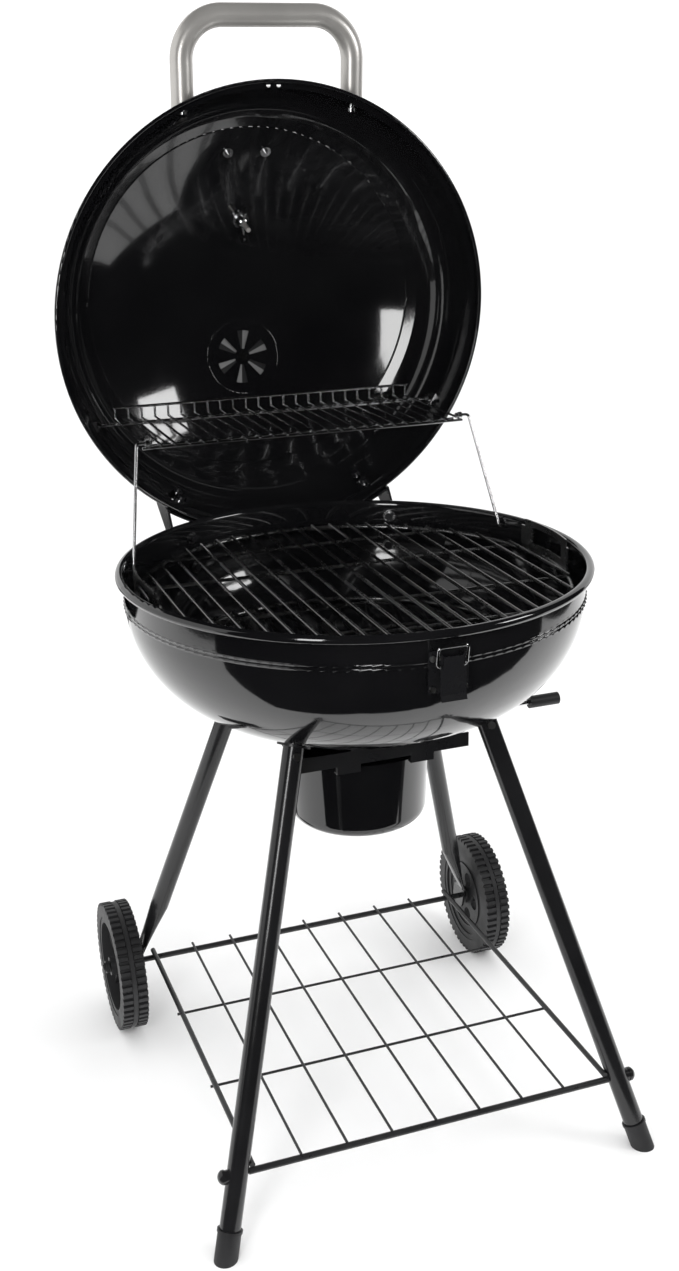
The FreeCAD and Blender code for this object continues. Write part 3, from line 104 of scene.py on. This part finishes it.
def make_stage():
    """White floor and surround with two soft boxes, as in a small product studio."""
    paper = stage_material("floor_paper", Base_Color=(0.94, 0.94, 0.94, 1), Roughness=0.9)
    turns = [math.radians(angle) for angle in range(0, 360, 10)]
    rim = [(FLOOR_REACH * math.cos(turn), FLOOR_REACH * math.sin(turn), -FLOOR_GAP) for turn in turns]
    stage_piece("floor_far", rim, [tuple(range(len(rim)))], paper, glossy=False)
    stage_piece("floor_sheet", FLOOR_SHEET, [tuple(range(len(FLOOR_SHEET)))], paper)
    make_surround(stage_material("surround_glow", Base_Color=(0, 0, 0, 1),
                                 Emission_Color=(1, 1, 1, 1), Emission_Strength=0.8))

    world = bpy.data.worlds.new("studio")
    SCENE.world = world
    world.use_nodes = True
    sky = world.node_tree.nodes["Background"]
    sky.inputs["Color"].default_value = (1, 1, 1, 1)
    sky.inputs["Strength"].default_value = 1.22
    world.cycles_visibility.glossy = False
    SCENE.view_settings.view_transform = "Standard"

    area_light("box_left", (-1.15, -1.5, 1.15), (0.35, 1.0), 10)
    area_light("box_right", (1.65, -1.15, 1.6), (0.6, 0.5), 9)


make_camera()
make_stage()


# ---------------------------------------------------------------- material kit

class Recipe:
    """Short names for building one material's nodes."""

    def __init__(self, name):
        self.material = bpy.data.materials.new(name)
        self.material.use_nodes = True
        self.tree = self.material.node_tree
        self.shader = self.tree.nodes["Principled BSDF"]
        self.place = self.node("ShaderNodeTexCoord").outputs["Object"]

    def node(self, kind, **inputs):
        made = self.tree.nodes.new(kind)
        for key, value in inputs.items():
            self.feed(made.inputs[key.replace("_", " ")], value)
        return made

    def feed(self, socket, value):
        if hasattr(value, "is_output"):
            self.tree.links.new(value, socket)
        else:
            socket.default_value = value

    def noise(self, scale, detail=3.0, rough=0.55):
        made = self.node("ShaderNodeTexNoise", Vector=self.place, Scale=scale, Detail=detail,
                         Roughness=rough)
        return made.outputs["Fac"]

    def ramp(self, value, *stops):
        made = self.node("ShaderNodeValToRGB", Fac=value)
        made.color_ramp.elements[0].position = stops[0][0]
        made.color_ramp.elements[0].color = tuple(stops[0][1]) + (1,)
        made.color_ramp.elements[1].position = stops[-1][0]
        made.color_ramp.elements[1].color = tuple(stops[-1][1]) + (1,)
        for position, colour in stops[1:-1]:
            made.color_ramp.elements.new(position).color = tuple(colour) + (1,)
        return made.outputs["Color"]

    def span(self, value, low, high, start=0.3, stop=0.7):
        """Value's start to stop, spread over low to high."""
        made = self.node("ShaderNodeMapRange", Value=value)
        for key, number in (("From Min", start), ("From Max", stop), ("To Min", low), ("To Max", high)):
            made.inputs[key].default_value = number
        return made.outputs["Result"]

    def maths(self, operation, *values):
        made = self.node("ShaderNodeMath")
        made.operation = operation
        for socket, value in zip(made.inputs, values):
            self.feed(socket, value)
        return made.outputs[0]

    def sum(self, first, second, share):
        """First plus a share of second."""
        return self.maths("MULTIPLY_ADD", second, share, first)

    def mixed(self, share, first, second):
        made = self.tree.nodes.new("ShaderNodeMix")
        made.data_type = "RGBA"
        self.feed(made.inputs["Factor"], share)
        self.feed(made.inputs[6], first)
        self.feed(made.inputs[7], second)
        return made.outputs[2]

    def bump(self, height, strength, distance):
        made = self.node("ShaderNodeBump", Height=height)
        made.inputs["Strength"].default_value = strength
        made.inputs["Distance"].default_value = distance
        self.feed(self.shader.inputs["Normal"], made.outputs["Normal"])

    def set(self, **inputs):
        for key, value in inputs.items():
            self.feed(self.shader.inputs[key.replace("_", " ")], value)
        return self


def rgb(tone, strength=1.0):
    """Opaque colour from three channels, made lighter or darker by its strength."""
    return tuple(channel * strength for channel in tone) + (1.0,)


# ---------------------------------------------------------------- materials

def enamel():
    """Black porcelain enamel: a deep coat with a fine orange peel."""
    kit = Recipe("black_enamel")
    peel = kit.noise(330.0, 2.0, 0.5)
    colour = kit.ramp(kit.noise(6.0), (0.35, (0.0035, 0.0035, 0.004)), (0.65, (0.006, 0.006, 0.0065)))
    rough = kit.span(kit.noise(11.0, 5.0, 0.65), 0.05, 0.11)
    kit.set(Base_Color=colour, Roughness=rough, Metallic=0.0, IOR=1.55, Coat_Weight=0.6,
            Coat_Roughness=0.03)
    kit.bump(peel, 0.06, 0.0003)
    return kit.material


def leg_paint():
    """Semi-gloss black powder coat with a fine orange peel."""
    kit = Recipe("leg_powder_coat")
    colour = kit.ramp(kit.noise(9.0), (0.3, (0.006, 0.006, 0.0065)), (0.7, (0.011, 0.011, 0.012)))
    rough = kit.span(kit.noise(24.0, 4.0), 0.16, 0.26)
    kit.set(Base_Color=colour, Roughness=rough, IOR=1.5, Coat_Weight=0.25, Coat_Roughness=0.12)
    kit.bump(kit.noise(260.0, 2.0), 0.18, 0.0004)
    return kit.material


def bracket_paint():
    """Satin black paint on pressed brackets, worn a little thin."""
    kit = Recipe("bracket_paint")
    worn = kit.span(kit.noise(55.0, 6.0, 0.7), 0.0, 1.0, 0.66, 0.72)
    colour = kit.mixed(worn, rgb((0.008, 0.008, 0.009)), rgb((0.03, 0.03, 0.03)))
    rough = kit.span(kit.noise(30.0, 4.0), 0.22, 0.38)
    kit.set(Base_Color=colour, Roughness=rough, IOR=1.5, Coat_Weight=0.1, Coat_Roughness=0.2)
    kit.bump(kit.noise(220.0, 3.0), 0.2, 0.0004)
    return kit.material


def bright_metal(name, tone, low, high, grain, depth=0.0002, metal=1.0):
    """Bare or plated metal with a fine grain and a faint cloudy tone."""
    kit = Recipe(name)
    marks = kit.noise(grain, 3.0, 0.6)
    cloud = kit.noise(14.0, 4.0)
    colour = kit.mixed(kit.span(cloud, 0.0, 1.0), rgb(tone, 0.86), rgb(tone))
    rough = kit.sum(kit.span(cloud, low, high), marks, (high - low) * 0.8)
    kit.set(Base_Color=colour, Metallic=metal, Roughness=rough)
    kit.bump(marks, 0.25, depth)
    return kit.material


def wheel_plastic(name, tone):
    """Moulded plastic: fine spark-eroded texture and a dusty variation."""
    kit = Recipe(name)
    dust = kit.noise(18.0, 5.0, 0.6)
    colour = kit.mixed(kit.span(dust, 0.0, 1.0), rgb(tone), rgb(tone, 1.6))
    kit.set(Base_Color=colour, Roughness=kit.span(kit.noise(40.0, 4.0), 0.42, 0.6), IOR=1.48)
    kit.bump(kit.sum(kit.noise(700.0, 2.0), dust, 0.5), 0.25, 0.0005)
    return kit.material


def wire_paint():
    """Black baked finish on the axle and the shelf's wires."""
    kit = Recipe("shelf_wire_coat")
    colour = kit.ramp(kit.noise(30.0), (0.3, (0.012, 0.012, 0.013)), (0.7, (0.022, 0.022, 0.023)))
    kit.set(Base_Color=colour, Roughness=kit.span(kit.noise(50.0, 4.0), 0.25, 0.42), IOR=1.5)
    kit.bump(kit.noise(500.0, 2.0), 0.2, 0.0003)
    return kit.material


VENT_CENTRE = (0, 0.36611, 0.90145)
VENT_TILT = math.radians(-97.66)
VENT_LEAVES = 6
LEAF_SHIFT = 0.417


def vent_steel_painted_shade():
    """Satin steel of the damper, with a painted lit half and a painted shaded half on each leaf,
    repeating round its axis.
    """
    kit = Recipe("vent_steel_painted_shade")
    mapping = kit.node("ShaderNodeMapping", Vector=kit.place)
    mapping.vector_type = "TEXTURE"
    mapping.inputs["Location"].default_value = VENT_CENTRE
    mapping.inputs["Rotation"].default_value = (VENT_TILT, 0, 0)
    sweep = kit.node("ShaderNodeTexGradient", Vector=mapping.outputs["Vector"])
    sweep.gradient_type = "RADIAL"
    turned = kit.maths("MULTIPLY_ADD", sweep.outputs["Fac"], VENT_LEAVES, LEAF_SHIFT)
    leaf = kit.maths("FRACT", turned)
    # Painted light and painted shade: the first half of each leaf is coloured as lit, the second half
    # as shaded.
    light, dark = (0.26, 0.26, 0.26), (0.03, 0.03, 0.031)
    colour = kit.ramp(leaf, (0.0, light), (0.47, light), (0.53, dark), (1.0, dark))
    kit.set(Base_Color=colour, Metallic=0.6, Roughness=kit.span(kit.noise(40.0, 4.0), 0.34, 0.46))
    kit.bump(kit.noise(700.0, 2.0), 0.15, 0.0002)
    return kit.material


def dial_card():
    """Matt off-white card of the thermometer."""
    kit = Recipe("dial_card")
    colour = kit.ramp(kit.noise(60.0, 5.0), (0.2, (0.78, 0.78, 0.75)), (0.8, (0.86, 0.86, 0.83)))
    kit.set(Base_Color=colour, Roughness=0.5)
    kit.bump(kit.noise(900.0, 2.0), 0.1, 0.0001)
    return kit.material


def clear_glass():
    """Clear flat glass with a trace of unevenness."""
    kit = Recipe("gauge_glass")
    kit.set(Base_Color=rgb((0.97, 0.98, 0.98)), Transmission_Weight=1.0, IOR=1.45,
            Roughness=kit.span(kit.noise(25.0, 4.0), 0.0, 0.03))
    kit.bump(kit.noise(60.0, 2.0), 0.02, 0.0002)
    return kit.material


def red_paint():
    """Satin red paint on the needle."""
    kit = Recipe("needle_red")
    colour = kit.ramp(kit.noise(200.0), (0.3, (0.5, 0.02, 0.015)), (0.7, (0.6, 0.03, 0.02)))
    kit.set(Base_Color=colour, Roughness=0.4)
    kit.bump(kit.noise(900.0, 2.0), 0.1, 0.0001)
    return kit.material


BLACK_ENAMEL = enamel()
LEG_PAINT = leg_paint()
BRACKET_PAINT = bracket_paint()
CHROME = bright_metal("chrome_wire", (0.72, 0.72, 0.73), 0.1, 0.2, 600.0)
GRATE_CHROME = bright_metal("grate_chrome", (0.36, 0.36, 0.36), 0.16, 0.28, 500.0)
ZINC = bright_metal("bright_zinc", (0.62, 0.62, 0.61), 0.2, 0.36, 700.0)
BRUSHED = bright_metal("brushed_steel", (0.7, 0.68, 0.65), 0.26, 0.36, 1500.0, 0.00002, 0.75)
LATCH_STEEL = bright_metal("latch_steel", (0.55, 0.55, 0.54), 0.25, 0.4, 500.0)
WHEEL_PLASTIC = wheel_plastic("wheel_plastic", (0.014, 0.014, 0.015))
TYRE_PLASTIC = wheel_plastic("tyre_plastic", (0.015, 0.015, 0.016))
SHELF_WIRE = wire_paint()

# Each material and the pieces that wear it.
FINISHES = [
    (BLACK_ENAMEL, "bowl lid ash_bucket"),
    (LEG_PAINT, "leg_front_left leg_front_right leg_rear_left leg_rear_right shelf_bolts"),
    (BRACKET_PAINT, "leg_sockets bucket_rails hinge_bowl_leaf hinge_lid_leaf hinge_bowl_bolts"),
    (BRACKET_PAINT, "hinge_lid_bolts grate_supports latch_base latch_lever latch_keeper"),
    (BRACKET_PAINT, "handle_saddles"),
    (ZINC, "leg_screws latch_rivets latch_pin hinge_pins ash_sweeper"),
    (CHROME, "hinge_bowl_washers hinge_lid_washers badge_screws handle_screws vent_rivet"),
    (CHROME, "gauge_wing_nut sweeper_lever warming_rack rack_lip rack_strut_left rack_strut_right"),
    (CHROME, "latch_bail rack_clips"),
    (GRATE_CHROME, "cooking_grate charcoal_grate grate_handles"),
    (SHELF_WIRE, "axle bottom_shelf"),
    (BRUSHED, "handle gauge_case"),
    (LATCH_STEEL, "badge_plate"),
    (WHEEL_PLASTIC, "wheel_left wheel_right axle_caps"),
    (TYRE_PLASTIC, "tyre_left tyre_right"),
    (wheel_plastic("foot_plastic", (0.01, 0.01, 0.011)), "foot_caps"),
    (wheel_plastic("grip_plastic", (0.012, 0.012, 0.013)), "sweeper_grip"),
    (vent_steel_painted_shade(), "vent_disc"),
    (dial_card(), "gauge_dial"),
    (red_paint(), "gauge_needle"),
    (clear_glass(), "gauge_glass"),
]

for material, names in FINISHES:
    for name in names.split():
        node = NODES[name]
        node.data.materials.clear()
        node.data.materials.append(material)
